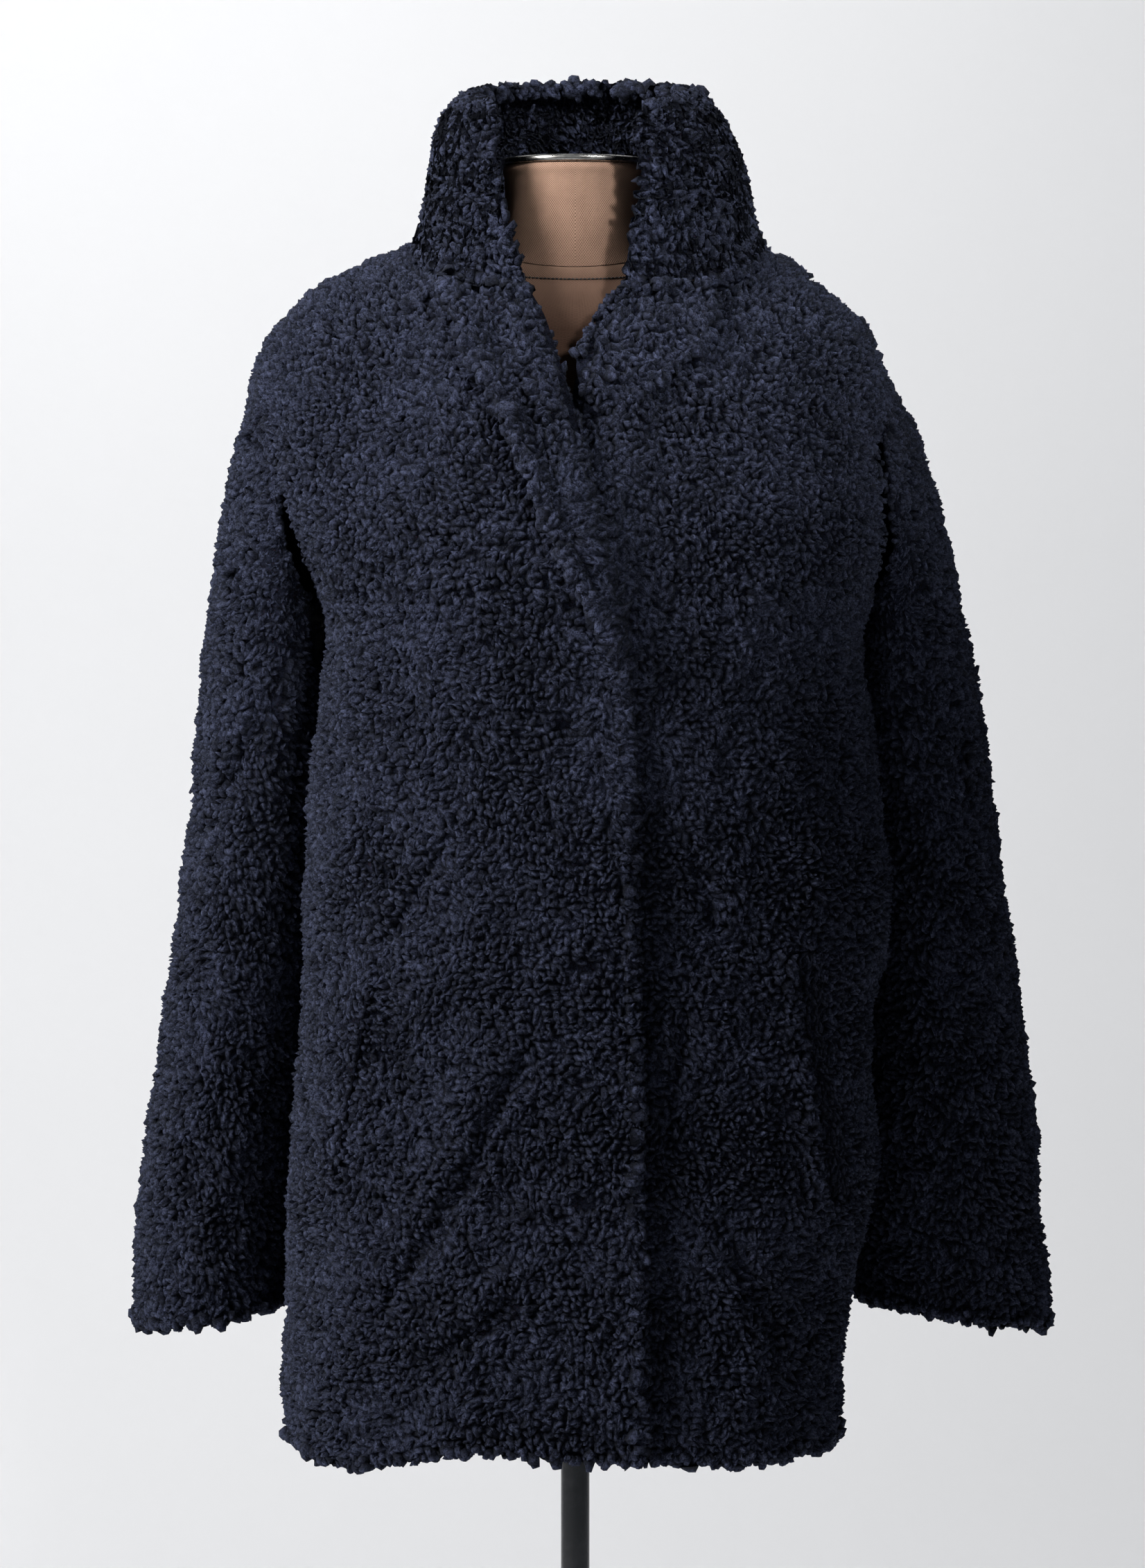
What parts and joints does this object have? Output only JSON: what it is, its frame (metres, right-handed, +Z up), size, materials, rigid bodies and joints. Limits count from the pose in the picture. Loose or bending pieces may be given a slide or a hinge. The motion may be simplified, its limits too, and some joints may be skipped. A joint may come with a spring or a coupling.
{
  "type": "long coat worn on a limbless dress form and stand",
  "caption": "Curly pile coat with stand-up collar, turned lapels, long sleeves and slanted pockets, closed on a limbless canvas dress form with a pole and round base.",
  "frame": {"origin": "middle of the underside of the stand's base, on the floor", "axes": "+Z up along the pole, -Y out of the front of the coat, +X towards the wearer's left"},
  "size_m": [0.6233, 0.36, 1.557],
  "materials": {
    "navy_pile": "curly matte pile",
    "canvas": "plain woven canvas",
    "dull_steel": "dull",
    "black_metal": "satin black"
  },
  "bodies": {
    "root": {"back": "navy_pile", "front_right": "navy_pile", "front_left": "navy_pile", "sleeve_right": "navy_pile", "sleeve_left": "navy_pile", "collar": "navy_pile", "lapel_right": "navy_pile", "lapel_left": "navy_pile", "pocket_welt_right": "navy_pile", "pocket_welt_left": "navy_pile", "press_stud_top": "black_metal", "press_stud_middle": "black_metal", "press_stud_bottom": "black_metal", "form_torso": "canvas", "form_neck": "canvas", "form_neck_cap": "dull_steel", "stand_socket": "black_metal", "stand_pole": "black_metal", "stand_base": "black_metal"}
  },
  "joints": []
}
